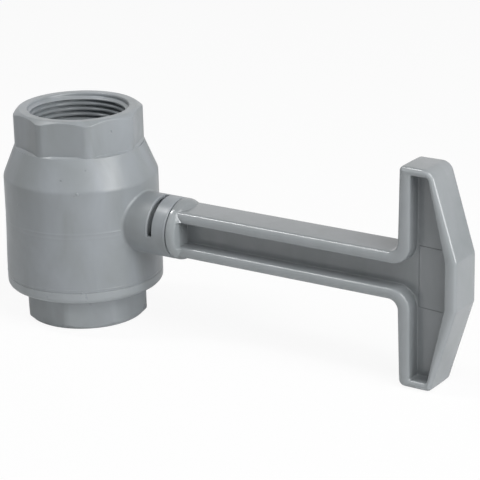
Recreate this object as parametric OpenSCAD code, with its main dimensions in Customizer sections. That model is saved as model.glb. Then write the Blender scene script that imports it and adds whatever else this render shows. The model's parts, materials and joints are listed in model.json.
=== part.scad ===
// Sink drain valve: a moulded quarter-turn ball valve with two threaded sockets and a long T-handle.
// The outlet face lies on z = 0, centred on the flow axis. Water runs down Z and the handle reaches
// along X. The valve is drawn open, with the bar of the handle in line with the flow.

/* [Pipe sockets] */
// Wall diameter of both threaded sockets, at the root of the pipe thread
socket_d = 41.9; // [38:0.1:46]
// Depth of both sockets
socket_l = 21; // [16:0.5:26]
// Diameter of the straight waterway through the ends and the ball
bore_d = 32; // [26:0.5:34]
// Wall between the bottom of the inlet socket and the pocket of the upper seat
inlet_web = 3.56; // [2:0.02:8]
// Wall between the bottom of the outlet socket and the pocket of the lower seat
outlet_web = 3.06; // [2:0.02:8]

/* [Ball and seats] */
// Diameter of the ball
ball_d = 48; // [46:0.5:54]
// Room between the ball and the wall of its chamber
ball_room = 1; // [0.6:0.1:3]
// Radial width of each seat ring
seat_w = 6.1; // [5:0.1:6.4]
// How far the seats' bore stands back from the waterway
seat_step = 0.3; // [0:0.05:1]
// Thickness of the thin inner lip of each seat ring
seat_lip = 0.62; // [0.4:0.02:1.5]
// Width of the flat foot outside each seat's spherical face
seat_land = 2.3; // [1.5:0.1:3]
// Gap between the ball and the seats at rest
seat_gap = 0.04; // [0.02:0.01:0.08]
// Thickness of the rubber ring behind each seat
cushion_d = 2.16; // [1.6:0.02:2.6]

/* [Casing] */
// Wall of the round barrel outside the end connector's plug
barrel_wall = 4.8; // [3.5:0.1:8]
// How much the barrel's radius grows from the shoulder down to the seam
barrel_flare = 0.55; // [0:0.05:1.5]
// Distance from the ball's centre down to the seam with the end connector
seam_drop = 25.8; // [24.6:0.1:27]
// Length of the cone between the barrel and the octagon
shoulder_l = 12.7; // [8:0.1:14]
// Half the length over which the cone bends into the barrel
shoulder_soft = 1.8; // [0.5:0.1:3]
// Length of the octagon under the inlet face
collar_l = 15.3; // [10:0.1:16]
// Wall of the inlet socket at the middle of a flat
collar_wall = 4.45; // [3.5:0.05:8]
// How far the turned corners stand out beyond the flats, across the diameter
collar_corner = 3.2; // [1.5:0.1:4]
// Height of the chamfer round the inlet face
collar_chamfer_h = 1.7; // [0.5:0.1:3]
// Width of the chamfer round the inlet face
collar_chamfer_w = 2.4; // [0.5:0.1:3]

/* [End connector] */
// Wall of the outlet socket at the middle of a flat
outlet_wall = 3.75; // [3:0.05:7]
// How far the turned corners of the outlet stand out beyond its flats, across the diameter
outlet_corner = 3.2; // [1.5:0.1:4]
// Turn of the outlet octagon against the inlet octagon, left by screwing the piece home
outlet_turn = 18; // [0:1:44]
// Chamfer round the outlet face
outlet_chamfer = 1.8; // [0.3:0.1:2.5]
// Thickness of the closing flange under the seam
flange_t = 4.8; // [4:0.1:8]
// Radius of the rounded rim under the flange
flange_round = 4; // [1:0.1:4]
// Wall between the ball chamber's radius and the plug's thread
plug_step = 2.5; // [2:0.1:5]
// Cord thickness of the seal between the casing and the end connector
body_seal_d = 2.36; // [1.6:0.02:2.8]
// Height of the plug's collar between the seam and the seal's groove
seal_land = 2; // [1.2:0.1:3]

/* [Spindle] */
// Diameter of the spindle where it is sealed
spindle_d = 15.9; // [13:0.1:17]
// Diameter of the flange that keeps the spindle in the casing
spindle_flange_d = 20.4; // [19.4:0.1:22]
// Thickness of that flange
spindle_flange_t = 2.9; // [2:0.1:4]
// Thickness of the slip washer under the flange
washer_t = 0.95; // [0.6:0.05:2]
// Length of the sealed bore round the spindle
gland_l = 8.4; // [7:0.1:12]
// Cord thickness of the two spindle seals
spindle_seal_d = 2.04; // [1.6:0.02:2.3]
// Thickness of the tongue that turns the ball
tongue_t = 6; // [4:0.1:8]
// Length of the tongue across the ball
tongue_l = 15; // [10:0.5:16]
// Depth of the tongue in the ball
tongue_h = 4.1; // [3:0.1:4.6]
// Side of the square end that drives the handle
drive_w = 9; // [7:0.1:10]
// Length of the square end
drive_l = 10.9; // [8:0.1:12]
// Gap between the ball and the spindle's flange
spindle_room = 0.6; // [0.4:0.05:1.5]

/* [Neck and stop slot] */
// Outer diameter of the neck and of the handle's hub
neck_d = 25.4; // [24:0.1:30]
// Diameter of the handle's stub inside the neck
stub_d = 19.04; // [17.4:0.02:19.8]
// Length of the stub inside the neck
stub_l = 13.2; // [12:0.1:18]
// Width of the stop slot along the neck
slot_w = 2.3; // [1.5:0.1:3]
// Width of the ring of neck between the slot and the handle
slot_ring = 6.5; // [4:0.1:7.5]
// Quarter turn of the handle, in degrees
turn = 90; // [60:1:95]
// Width of the stop lug round the neck, in degrees
lug_turn = 12; // [8:1:24]
// Height of the stop lug above the stub
lug_h = 1.7; // [1:0.1:2.4]

/* [Handle] */
// Gap between the neck and the handle's hub
hub_gap = 0.4; // [0.2:0.05:1]
// Length of the hub's round part
hub_l = 1; // [0.8:0.1:3]
// Length of the hub's domed end
hub_nose = 7; // [4:0.1:9]
// Thickness of the handle, across the flow
grip_t = 17.1; // [14:0.1:17.2]
// Height of the stem
stem_h = 19.5; // [15:0.1:19.6]
// Length from the hub's back face to the bar
stem_l = 103.8; // [60:0.1:160]
// Length of the bar
bar_l = 88.7; // [60:0.1:120]
// Width of the bar at its middle
bar_w = 25.6; // [21:0.1:30]
// Width of the bar at its ends
tip_w = 14; // [12.5:0.1:18]
// How far the inner side of the bar leans outwards to its ends
tip_lean = 0.8; // [0:0.1:3]
// Length of the straight crown at the middle of the bar's outer side
crown_l = 19.2; // [8:0.1:30]
// Radius in the corner between the stem and the bar
crotch_r = 4; // [2:0.1:8]
// Radius of the outer corner at the bar's upper end
tip_r = 5; // [2:0.1:5.2]
// Radius of the outer corner at the bar's lower end
low_tip_r = 2.5; // [2:0.1:5.2]
// Radius of the inner corners at the bar's ends
heel_r = 2.4; // [2:0.1:4]
// Width of the rims along the stem
stem_rim = 4.7; // [2.5:0.1:5]
// Width of the rim on the inner side of the bar
inner_rim = 5.6; // [3:0.1:6]
// Width of the rim at the middle of the bar's outer side
outer_rim = 5.2; // [3:0.1:6]
// Width of the rims across the bar's ends
end_rim = 3.3; // [2.5:0.1:5]
// How far the hollow's outer corners lie inside the bar's, along its width
tip_rim = 1.7; // [1.5:0.1:3]
// Radius of the hollow in the corner between the stem and the bar
hollow_crotch_r = 8; // [4:0.1:10]
// Thickness of the web between the two hollow sides
web_t = 4; // [2:0.1:8]
// Rounding of the outer edges
edge_r = 1.7; // [0.6:0.1:1.8]
// Rounding of the hollows' upper edges
lip_r = 0.7; // [0.3:0.1:0.7]
// Fillet round the bottom of the hollows
floor_r = 1.2; // [0.5:0.1:1.6]

/* [Hidden] */

$fn = 96;
fit = 0.05;         // radial clearance of a running or sealed fit
stub_fit = 0.08;    // radial clearance of the handle's stub in the neck
drive_fit = 0.05;   // clearance on each side of the square drive
tongue_fit = 0.1;   // clearance on each side of the tongue
lug_fit = 0.2;      // clearance on each side of the stop lug in its slot
slit_w = 1;         // width of the slits that make the lug's wall springy
slit_turn = 6;      // angle from the lug's edge to the slit beside it, in degrees
touch = 0.02;       // gap left between pieces that only rest on each other
end_gap = 0.4;      // free room past the end of a piece that is stopped by something else
rim_cut = 0.4;      // chamfer that softens the neck's rim and the hub's
over = 1;           // how far a cutter runs past the face that it opens
casing_grey = "#8b9093";
handle_grey = "#85898c";
seal_black = "#26282a";
seat_white = "#e6e4da";
ball_grey = "#7d8285";

// Ball, seats and chamber, measured from the ball's centre
ball_r = ball_d / 2;
bore_r = bore_d / 2;
chamber_r = ball_r + ball_room;
seat_ball_r = ball_r + seat_gap;
seat_in_r = bore_r + seat_step;
seat_out_r = seat_in_r + seat_w;
seat_top = sqrt(seat_ball_r ^ 2 - seat_in_r ^ 2) + seat_lip;
seat_foot_r = seat_out_r - seat_land;
seat_foot = sqrt(seat_ball_r ^ 2 - seat_foot_r ^ 2);
pocket_r = seat_out_r + 2 * fit;
pocket_top = seat_top + cushion_d + 2 * touch;
cushion_r = (seat_in_r + seat_out_r) / 2;

// Casing, measured from the ball's centre
socket_r = socket_d / 2;
inlet_l = pocket_top + inlet_web + socket_l;
outlet_l = pocket_top + outlet_web + socket_l;
plug_bore_r = chamber_r + plug_step;
plug_r = plug_bore_r - fit;
barrel_r = plug_bore_r + barrel_wall;
seam_r = barrel_r + barrel_flare;
collar_foot = inlet_l - collar_l;
barrel_top = collar_foot - shoulder_l;
collar_half = socket_r + collar_wall;
collar_corner_r = collar_half + collar_corner / 2;
outlet_half = socket_r + outlet_wall;
outlet_corner_r = outlet_half + outlet_corner / 2;
plug_top = -seat_foot - end_gap;
seal_groove = 2 * touch + body_seal_d;
seal_mid = -seam_drop + seal_land + seal_groove / 2;

// Spindle, neck and stub, measured along X from the ball's centre
flange_x = ball_r + spindle_room;
washer_x = flange_x + spindle_flange_t + fit;
gland_x = washer_x + washer_t + fit;
gland_end = gland_x + gland_l;
gland_r = spindle_d / 2 + fit;
flange_bore_r = spindle_flange_d / 2 + 4 * fit;
spindle_end = gland_end - end_gap;
stub_x = gland_end + 0.75 * end_gap;
neck_end = stub_x + stub_l;
neck_r = neck_d / 2;
stub_r = stub_d / 2;
groove_w = spindle_seal_d + 0.36;
groove_gap = (gland_l - 2 * groove_w) / 3;
inner_groove_x = gland_x + groove_gap;
outer_groove_x = inner_groove_x + groove_w + groove_gap;
groove_floor_r = spindle_d / 2 - spindle_seal_d - touch;
slot_end = neck_end - slot_ring;
slot_x = slot_end - slot_w;
slot_play = 0.5;    // free turn at each end of the slot, in degrees

// Handle, measured along X from the ball's centre
hub_x = neck_end + hub_gap;
nose_x = hub_x + hub_l;
bar_x = hub_x + stem_l;
grip_x = hub_x + 0.5;
hollow_x = grip_x + 3;
far_x = bar_x + bar_w;
half_t = grip_t / 2;
half_web = web_t / 2;
hollow_half = stem_h / 2 - stem_rim;
hub_relief = 0.25;  // how much wider than the hollows the cut in the hub's end is

// Carries a piece drawn round the ball's centre to its place over the outlet face
module at_ball() {
    translate([0, 0, outlet_l]) children();
}

// Turns a piece drawn along Z to lie along X, with its own X axis pointing down
module along_x() {
    rotate([0, 90, 0]) children();
}

// Straight rod along X from x0 to x1
module rod_x(r, x0, x1) {
    along_x() translate([0, 0, x0]) cylinder(r = r, h = x1 - x0);
}

// Rubber ring of the given cord thickness, lying round Z
module o_ring(r, cord) {
    rotate_extrude() translate([r, 0]) circle(d = cord, $fn = 32);
}

// Points of an arc from angle a0 to a1, about (cx, cy)
function arc(cx, cy, r, a0, a1, steps) =
    [for (i = [0:steps]) let (a = a0 + (a1 - a0) * i / steps) [cx + r * cos(a), cy + r * sin(a)]];

// Octagonal spigot whose corners are turned to a round and whose end face is chamfered
module octagon_end(half, corner_r, length, chamfer_w, chamfer_h, angle) {
    intersection() {
        rotate(angle) cylinder(r = half / cos(22.5), h = length, $fn = 8);
        rotate_extrude() polygon([
            [0, 0], [corner_r, 0], [corner_r, length - chamfer_h],
            [corner_r - chamfer_w, length], [0, length]
        ]);
    }
}

// Round barrel and its shoulder cone, softened where the two meet
module barrel() {
    rotate_extrude() polygon(concat(
        [[0, -seam_drop], [seam_r, -seam_drop]],
        [for (i = [0:4]) let (t = i / 4)
            [barrel_r - 0.6 * shoulder_soft * t ^ 2, barrel_top + shoulder_soft * (2 * t - 1.2)]],
        [[collar_corner_r, collar_foot], [0, collar_foot]]
    ));
}

// Neck with a softened rim
module neck() {
    along_x() rotate_extrude() polygon([
        [0, 0], [neck_r, 0], [neck_r, neck_end - rim_cut], [neck_r - rim_cut, neck_end],
        [0, neck_end]
    ]);
}

// Part of a ring about X between two radii, from x0 to x1, over the angle that the lug sweeps.
// The angle counts from the side that faces -Y, upwards over the top.
module ring_part(r0, r1, x0, x1, a0, a1) {
    mirror([1, 0, 0]) rotate([90, 0, -90]) rotate([0, 0, a0])
        rotate_extrude(angle = a1 - a0)
            translate([r0, x0]) square([r1 - r0, x1 - x0]);
}

module stop_slot() {
    ring_part(stub_r - over, neck_r + over, slot_x, slot_end,
        90 - turn - lug_turn / 2 - slot_play, 90 + lug_turn / 2 + slot_play);
}

// Moulded casing: threaded octagonal inlet, ball chamber, spindle gland and slotted neck
module body() {
    color(casing_grey) at_ball() difference() {
        union() {
            barrel();
            translate([0, 0, collar_foot - over])
                octagon_end(collar_half, collar_corner_r, collar_l + over,
                    collar_chamfer_w, collar_chamfer_h, 0);
            neck();
        }
        translate([0, 0, inlet_l - socket_l]) cylinder(r = socket_r, h = socket_l + over);
        cylinder(r = bore_r, h = inlet_l);
        cylinder(r = pocket_r, h = pocket_top);
        translate([0, 0, plug_top]) cylinder(r = chamber_r, h = seat_foot - plug_top);
        translate([0, 0, -seam_drop - over])
            cylinder(r = plug_bore_r, h = plug_top + end_gap / 2 + seam_drop + over);
        rod_x(flange_bore_r, 0.8 * chamber_r, gland_x);
        rod_x(gland_r, 0, gland_end + over);
        rod_x(stub_r + stub_fit, gland_end, neck_end + over);
        stop_slot();
    }
}

// Screwed-in lower end: plug with the lower seat's pocket, closing flange and octagonal outlet
module end_connector() {
    color(casing_grey) at_ball() difference() {
        union() {
            translate([0, 0, -seam_drop]) cylinder(r = plug_r, h = plug_top + seam_drop);
            rotate_extrude() polygon(concat(
                [[0, -seam_drop], [0, -seam_drop - flange_t]],
                arc(seam_r - flange_round, -seam_drop - flange_t + flange_round, flange_round,
                    -90, 0, 6),
                [[seam_r, -seam_drop]]
            ));
            translate([0, 0, -seam_drop - over]) mirror([0, 0, 1])
                octagon_end(outlet_half, outlet_corner_r, outlet_l - seam_drop - over,
                    outlet_chamfer, outlet_chamfer, outlet_turn);
        }
        translate([0, 0, -outlet_l - over]) cylinder(r = socket_r, h = socket_l + over);
        translate([0, 0, -outlet_l]) cylinder(r = bore_r, h = outlet_l);
        translate([0, 0, -pocket_top]) cylinder(r = pocket_r, h = pocket_top);
        translate([0, 0, seal_mid - seal_groove / 2]) difference() {
            cylinder(r = plug_r + over, h = seal_groove);
            translate([0, 0, -over])
                cylinder(r = plug_bore_r - seal_groove, h = seal_groove + 2 * over);
        }
    }
}

// Seal in the groove of the end connector's plug
module body_o_ring() {
    color(seal_black) at_ball() translate([0, 0, seal_mid])
        o_ring(plug_bore_r - touch - body_seal_d / 2, body_seal_d);
}

// Floating ball with a straight waterway and the slot that the spindle's tongue fills
module ball() {
    color(ball_grey) at_ball() difference() {
        sphere(r = ball_r);
        translate([0, 0, -ball_r - over]) cylinder(r = bore_r, h = 2 * (ball_r + over));
        translate([flange_x - tongue_h - end_gap, -tongue_l / 2 - end_gap,
            -tongue_t / 2 - tongue_fit])
            cube([tongue_h + over, tongue_l + 2 * end_gap, tongue_t + 2 * tongue_fit]);
    }
}

// Seat ring with a spherical face that fits the ball, drawn above the ball
module seat() {
    difference() {
        translate([0, 0, seat_foot]) cylinder(r = seat_out_r, h = seat_top - seat_foot);
        cylinder(r = seat_in_r, h = seat_top + over);
        sphere(r = seat_ball_r);
    }
}

module upper_seat() {
    color(seat_white) at_ball() seat();
}

module lower_seat() {
    color(seat_white) at_ball() mirror([0, 0, 1]) seat();
}

// Rubber ring behind a seat, which presses it on the ball
module seat_cushion() {
    translate([0, 0, seat_top + touch + cushion_d / 2]) o_ring(cushion_r, cushion_d);
}

module upper_seat_cushion() {
    color(seal_black) at_ball() seat_cushion();
}

module lower_seat_cushion() {
    color(seal_black) at_ball() mirror([0, 0, 1]) seat_cushion();
}

// Plain washer that takes the thrust of the spindle's flange
module slip_washer() {
    color(seat_white) at_ball() difference() {
        rod_x(spindle_flange_d / 2 - 0.1, washer_x, washer_x + washer_t);
        rod_x(gland_r + 0.15, washer_x - over, washer_x + washer_t + over);
    }
}

// Groove for a spindle seal, cut into the shaft from x0
module seal_cut(x0) {
    difference() {
        rod_x(spindle_d / 2 + over, x0, x0 + groove_w);
        rod_x(groove_floor_r, x0 - over, x0 + groove_w + over);
    }
}

// Spindle: tongue, flange, sealed shaft with two grooves, and square drive
module spindle() {
    color(ball_grey) at_ball() difference() {
        union() {
            translate([flange_x - tongue_h, -tongue_l / 2, -tongue_t / 2])
                cube([tongue_h + over, tongue_l, tongue_t]);
            rod_x(spindle_flange_d / 2, flange_x, flange_x + spindle_flange_t);
            rod_x(spindle_d / 2, flange_x, spindle_end);
            intersection() {
                translate([spindle_end - over, -drive_w / 2, -drive_w / 2])
                    cube([drive_l + over, drive_w, drive_w]);
                rod_x(drive_w * 0.66, spindle_end - over, spindle_end + drive_l);
            }
        }
        seal_cut(inner_groove_x);
        seal_cut(outer_groove_x);
    }
}

// Seal in the spindle groove that starts at x0
module spindle_o_ring(x0) {
    along_x() translate([0, 0, x0 + groove_w / 2])
        o_ring(spindle_d / 2 - spindle_seal_d / 2, spindle_seal_d);
}

module inner_spindle_o_ring() {
    color(seal_black) at_ball() spindle_o_ring(inner_groove_x);
}

module outer_spindle_o_ring() {
    color(seal_black) at_ball() spindle_o_ring(outer_groove_x);
}

// Unit vector from a to b
function toward(a, b) = (b - a) / norm(b - a);

// Points of one rounded corner at p, between the outline's points before and after it. The arc
// has the same number of points whatever its radius, so rings of one outline match point by point.
function corner_arc(before, p, after, r, steps) =
    let (u = toward(p, before), v = toward(p, after),
        half = acos(max(-1, min(1, u * v))) / 2,
        mid = toward([0, 0], u + v),
        centre = p + mid * r / sin(half),
        side = sign(u[0] * v[1] - u[1] * v[0]),
        start = atan2(mid[1], mid[0]) + 180 + side * (90 - half),
        sweep = -side * (180 - 2 * half))
    [for (i = [0:steps]) let (a = start + sweep * i / steps) centre + r * [cos(a), sin(a)]];

// Closed outline through corners [x, z, radius], with every corner rounded
function rounded(corners, steps) =
    let (n = len(corners))
    [for (i = [0:n - 1])
        let (b = corners[(i + n - 1) % n], c = corners[i], a = corners[(i + 1) % n])
        each corner_arc([b[0], b[1]], [c[0], c[1]], [a[0], a[1]], c[2], steps)];

// The same corners moved inwards by d, on an outline that runs anticlockwise. A corner that points
// outwards loses d from its radius and one that points inwards gains it.
function inset(corners, d) =
    let (n = len(corners))
    [for (i = [0:n - 1])
        let (b = corners[(i + n - 1) % n], c = corners[i], a = corners[(i + 1) % n],
            u = toward([c[0], c[1]], [b[0], b[1]]), v = toward([c[0], c[1]], [a[0], a[1]]),
            half = acos(u * v) / 2,
            out = sign(v[0] * u[1] - v[1] * u[0]),
            p = [c[0], c[1]] + toward([0, 0], u + v) * out * d / sin(half))
        [p[0], p[1], max(0.15, c[2] - out * d)]];

// The corners of the handle's lower half in the XZ plane, followed by the same corners mirrored,
// whose radii are given for themselves
function t_outline(lower, upper_radii) = concat(lower,
    [for (i = [len(lower) - 1:-1:0]) [lower[i][0], -lower[i][1], upper_radii[i]]]);

// Outline of the handle. It starts inside the hub, and the outer side of the bar slopes from its
// straight crown to its ends.
function outer_outline() = t_outline([
        [grip_x, -stem_h / 2, 0.2],
        [bar_x, -stem_h / 2, crotch_r],
        [bar_x + tip_lean, -bar_l / 2, heel_r],
        [bar_x + tip_lean + tip_w, -bar_l / 2, low_tip_r],
        [far_x, -crown_l / 2, 4]
    ], [0.2, crotch_r, heel_r, tip_r, 4]);

// Outline of the hollow on each side of the web. Its x grows from corner to corner, also along the
// bar's inner side, because the floor is closed by strips from the lower half to the upper one.
function hollow_outline() =
    let (lower = [
        [hollow_x, -hollow_half, 0.2],
        [bar_x + inner_rim, -hollow_half, hollow_crotch_r],
        [bar_x + inner_rim + 0.2, -bar_l / 2 + end_rim, 0.8],
        [bar_x + tip_lean + tip_w - tip_rim, -bar_l / 2 + end_rim, 1.2],
        [far_x - outer_rim, -crown_l / 2, 3]
    ])
    t_outline(lower, [for (corner = lower) corner[2]]);

// Rings of the grip's skin as [corners, height across the handle], from the middle of its rim
// over the outer edge and the lip, down the wall of the hollow and round its floor.
function grip_rings() =
    let (edge = outer_outline(), hollow = hollow_outline())
    concat(
        [for (a = [0:30:90]) [inset(edge, edge_r * (1 - cos(a))), half_t - edge_r * (1 - sin(a))]],
        [for (a = [0:45:90]) [inset(hollow, -lip_r * (1 - sin(a))), half_t - lip_r * (1 - cos(a))]],
        [for (a = [0:45:90])
            [inset(hollow, 0.2 + floor_r * (1 - cos(a))), half_web + floor_r * (1 - sin(a))]]
    );

// Grip of the handle: one skin lofted ring by ring, closed by the floors of the two hollows
module grip() {
    side = grip_rings();
    rings = concat([for (i = [len(side) - 1:-1:0]) [side[i][0], -side[i][1]]], side);
    loops = [for (ring = rings) [for (p = rounded(ring[0], 4)) [p[0], ring[1], p[1]]]];
    n = len(loops[0]);
    top = (len(loops) - 1) * n;
    polyhedron(
        points = [for (loop = loops) each loop],
        faces = concat(
            // The skin between one ring and the next
            [for (i = [0:len(loops) - 2]) for (j = [0:n - 1])
                let (k = (j + 1) % n) each [
                    [i * n + j, i * n + k, (i + 1) * n + k],
                    [i * n + j, (i + 1) * n + k, (i + 1) * n + j]
                ]],
            // The two floors, in strips from each point to the one mirrored across the stem
            [for (j = [0:n / 2 - 2]) let (k = n - 1 - j) each [
                [j, k, j + 1], [j + 1, k, k - 1],
                [top + j, top + j + 1, top + k], [top + j + 1, top + k - 1, top + k]
            ]]
        )
    );
}

// Hub flush with the neck, with a domed end that the hollows cut off square
module hub() {
    difference() {
        along_x() rotate_extrude() polygon(concat(
            [[0, hub_x], [neck_r - rim_cut, hub_x], [neck_r, hub_x + rim_cut]],
            [for (a = [0:10:90]) [neck_r * cos(a), nose_x + hub_nose * sin(a)]]
        ));
        for (side = [-1, 1])
            translate([hollow_x + 0.3, side * (neck_r + half_web - 0.3) - neck_r,
                -hollow_half - hub_relief])
                cube([hub_nose, 2 * neck_r, 2 * (hollow_half + hub_relief)]);
    }
}

// Stub that turns in the neck, with the stop lug on a springy tongue between two slits
module stub() {
    difference() {
        union() {
            rod_x(stub_r, stub_x, hub_x + over);
            ring_part(stub_r - over, stub_r + lug_h, slot_x + lug_fit, slot_end - lug_fit,
                90 - lug_turn / 2, 90 + lug_turn / 2);
        }
        for (side = [-1, 1]) rotate([side * (lug_turn / 2 + slit_turn), 0, 0])
            translate([stub_x - over, -slit_w / 2, drive_w / 2])
                cube([slot_end + 2 * slit_w - stub_x + over, slit_w, stub_r]);
    }
}

// One-piece T-handle: stub, hub, ribbed stem and tapering bar
module t_handle() {
    color(handle_grey) at_ball() difference() {
        union() {
            grip();
            hub();
            stub();
        }
        translate([stub_x - over, -drive_w / 2 - drive_fit, -drive_w / 2 - drive_fit])
            cube([spindle_end + drive_l + end_gap - stub_x + over, drive_w + 2 * drive_fit,
                drive_w + 2 * drive_fit]);
    }
}

body();
end_connector();
body_o_ring();
ball();
upper_seat();
lower_seat();
upper_seat_cushion();
lower_seat_cushion();
slip_washer();
spindle();
inner_spindle_o_ring();
outer_spindle_o_ring();
t_handle();
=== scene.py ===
# %% [markdown]
# # A sink drain valve in moulded grey plastic
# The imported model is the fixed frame: every piece is already there at its real size. What is left
# is the skin that a camera sees: soft moulded edges, real thread turns, the slot in the neck, the
# hollows of the T-handle and the satin finish. Each skin below is worked out in millimetres from a
# few sizes, and it stands exactly where its plain piece stands.

# %% Load the frame
import json
import math

import bmesh
import bpy
import numpy as np
from mathutils import Matrix, Vector


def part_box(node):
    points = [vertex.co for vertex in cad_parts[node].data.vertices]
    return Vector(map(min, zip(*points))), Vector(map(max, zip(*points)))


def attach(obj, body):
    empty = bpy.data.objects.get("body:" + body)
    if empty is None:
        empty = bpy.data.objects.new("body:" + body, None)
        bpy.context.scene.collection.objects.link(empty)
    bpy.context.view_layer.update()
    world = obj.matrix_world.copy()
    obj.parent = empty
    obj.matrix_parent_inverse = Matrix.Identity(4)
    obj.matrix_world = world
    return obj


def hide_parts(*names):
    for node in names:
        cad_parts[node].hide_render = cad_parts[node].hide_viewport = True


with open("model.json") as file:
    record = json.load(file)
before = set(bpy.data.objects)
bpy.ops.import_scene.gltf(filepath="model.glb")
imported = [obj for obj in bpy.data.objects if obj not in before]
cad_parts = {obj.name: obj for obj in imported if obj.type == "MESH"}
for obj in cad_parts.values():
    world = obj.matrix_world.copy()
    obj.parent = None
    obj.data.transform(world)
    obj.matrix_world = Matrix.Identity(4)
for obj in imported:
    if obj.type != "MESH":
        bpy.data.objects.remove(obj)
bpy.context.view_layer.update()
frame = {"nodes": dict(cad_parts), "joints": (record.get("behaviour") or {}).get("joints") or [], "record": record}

# %% [markdown]
# The frame knows the main sizes: where the casing starts and ends, how wide it is, where the handle
# turns and how deep the threads go. Reading them from the frame, and not typing them again, keeps
# the skins on their pieces when the model changes.

# %% Sizes that the frame gives
MM = 0.001
body_low, body_high = (np.array(corner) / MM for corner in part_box("body"))
handle_low, handle_high = (np.array(corner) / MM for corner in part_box("t_handle"))
mounts = {mount["name"]: mount for mount in frame["record"]["mounts"]}
socket_r = mounts["inlet_thread"]["dims"]["r_mm"]
socket_l = mounts["inlet_thread"]["dims"]["length_mm"]
axis_z = frame["joints"][0]["pos_m"][2] / MM
mouth_z = body_high[2]
seam_z = body_low[2]
seam_r = -body_low[0]
neck_end = body_high[0]
plug_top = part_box("end_connector")[1][2] / MM
print(f"mouth at {mouth_z:.2f}, seam at {seam_z:.2f}, handle axis at {axis_z:.2f} mm")

# %% [markdown]
# ## Helpers for surfaces
# Most of this valve is turned or moulded round an axis. Its skin is a grid: the rows are points of
# a profile, the columns are angles round the axis. A profile with hard corners looks like paper, so
# one helper rounds the corners of all the columns at once, even where the profile changes from
# angle to angle, as it does on the octagons.

# %% Round the corners of a profile
def soften(corners, columns, closed=True, steps=5, hold=0.3):
    """Rounds the corners of a profile and returns its rows and the first row of each corner.

    A corner is (a, b, radius), where a and b are one number or one per column. The round is the arc
    that touches both sides, as a rational curve: with P and Q the touching points, B the corner and
    w the sine of half the angle at B, it is the weighted mean of P, B and Q with the weights
    (1-s)^2, 2ws(1-s) and s^2. A touching point lies radius / tan(half angle) from the corner, and at
    most 0.45 of the way to the next one. A corner of radius 0 stays one point. Each arc gets one
    more row a small step beyond either end, which keeps the flats beside it flat in the light. The
    step is `hold` millimetres, or 0.04 of the way to the next corner where that is less.
    """
    most_reach = 0.45
    most_hold = 0.04
    straight = 0.99999
    count = len(corners)
    points = np.stack([np.stack(np.broadcast_arrays(np.zeros(columns) + a, b), -1)
                       for a, b, radius in corners])
    before = np.roll(points, 1, 0) - points
    after = np.roll(points, -1, 0) - points
    gap_before = np.linalg.norm(before, axis=-1, keepdims=True) + 1e-9
    gap_after = np.linalg.norm(after, axis=-1, keepdims=True) + 1e-9
    u = before / gap_before
    v = after / gap_after
    half = np.arccos(np.clip((u * v).sum(-1, keepdims=True), -straight, straight)) / 2
    room = most_reach * np.minimum(gap_before, gap_after)
    s = np.linspace(0, 1, steps + 1)[:, None, None]
    rows = []
    first = []
    for i, (a, b, radius) in enumerate(corners):
        first.append(sum(len(part) for part in rows))
        if np.max(radius) == 0 or (not closed and i in (0, count - 1)):
            rows.append(points[i][None])
            continue
        reach = np.minimum(np.reshape(radius, (-1, 1)) / np.tan(half[i]), room[i])
        start = points[i] + u[i] * reach
        end = points[i] + v[i] * reach
        w = np.sin(half[i])
        weight = (1 - s) ** 2 + 2 * w * s * (1 - s) + s ** 2
        arc = ((1 - s) ** 2 * start + 2 * w * s * (1 - s) * points[i] + s ** 2 * end) / weight
        step_back = u[i] * np.minimum(hold, most_hold * gap_before[i])
        step_on = v[i] * np.minimum(hold, most_hold * gap_after[i])
        rows.append(np.concatenate([(start + step_back)[None], arc, (end + step_on)[None]]))
    return np.concatenate(rows), first


# %% [markdown]
# The faces of a grid are the same whatever its shape: each joins a point with its neighbours in the
# next row and the next column. Points that fall together, at a pole or where a ledge runs out, are
# merged afterwards, so that every skin is closed.

# %% Turn grids of points into pieces
def grid_faces(rows, columns, wrap_rows=True, wrap_columns=True):
    """Quads of a grid, as an array of (rows, columns, 4) point numbers: row * columns + column."""
    i = np.arange(rows if wrap_rows else rows - 1)[:, None]
    j = np.arange(columns if wrap_columns else columns - 1)[None, :]
    i_next = (i + 1) % rows
    j_next = (j + 1) % columns
    return np.stack([i * columns + j, i * columns + j_next, i_next * columns + j_next,
                     i_next * columns + j], -1)


SAME_POINT = 0.001 * MM
CRISP_ANGLE = math.radians(35)


def make_piece(name, points, faces):
    """Makes an object from points in millimetres and an array of faces.

    Points closer than a thousandth of a millimetre are merged, the faces are turned outwards, and
    edges that bend by more than the crisp angle stay crisp. The print gives the volume inside and
    the number of open edges, which is 0 for a closed skin.
    """
    mesh = bpy.data.meshes.new(name)
    mesh.from_pydata((points.reshape(-1, 3) * MM).tolist(), [], faces.reshape(-1, 4).tolist())
    work = bmesh.new()
    work.from_mesh(mesh)
    bmesh.ops.remove_doubles(work, verts=work.verts, dist=SAME_POINT)
    bmesh.ops.recalc_face_normals(work, faces=work.faces)
    work.to_mesh(mesh)
    open_edges = sum(not edge.is_manifold for edge in work.edges)
    volume = work.calc_volume() / (10 * MM) ** 3
    work.free()
    mesh.shade_smooth()
    mesh.set_sharp_from_angle(angle=CRISP_ANGLE)
    piece = bpy.data.objects.new(name, mesh)
    bpy.context.scene.collection.objects.link(piece)
    print(f"{name}: {len(mesh.polygons)} faces, {volume:.2f} cm3, {open_edges} open edges")
    return piece


# %% Carry a profile round the flow axis or the handle's axis
def around_flow(rows, angle):
    """Profile (r, z) to points: x = r cos(a), y = r sin(a), and z stays."""
    r, z = rows[..., 0], rows[..., 1]
    return np.stack([r * np.cos(angle), r * np.sin(angle), z], -1)


def around_handle(rows, angle):
    """Profile (r, x) to points: x stays, y = -r cos(a) and z = axis + r sin(a).

    The angle counts from the side that faces the camera, upwards over the top.
    """
    r, x = rows[..., 0], rows[..., 1]
    return np.stack([x, -r * np.cos(angle), axis_z + r * np.sin(angle)], -1)


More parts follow.
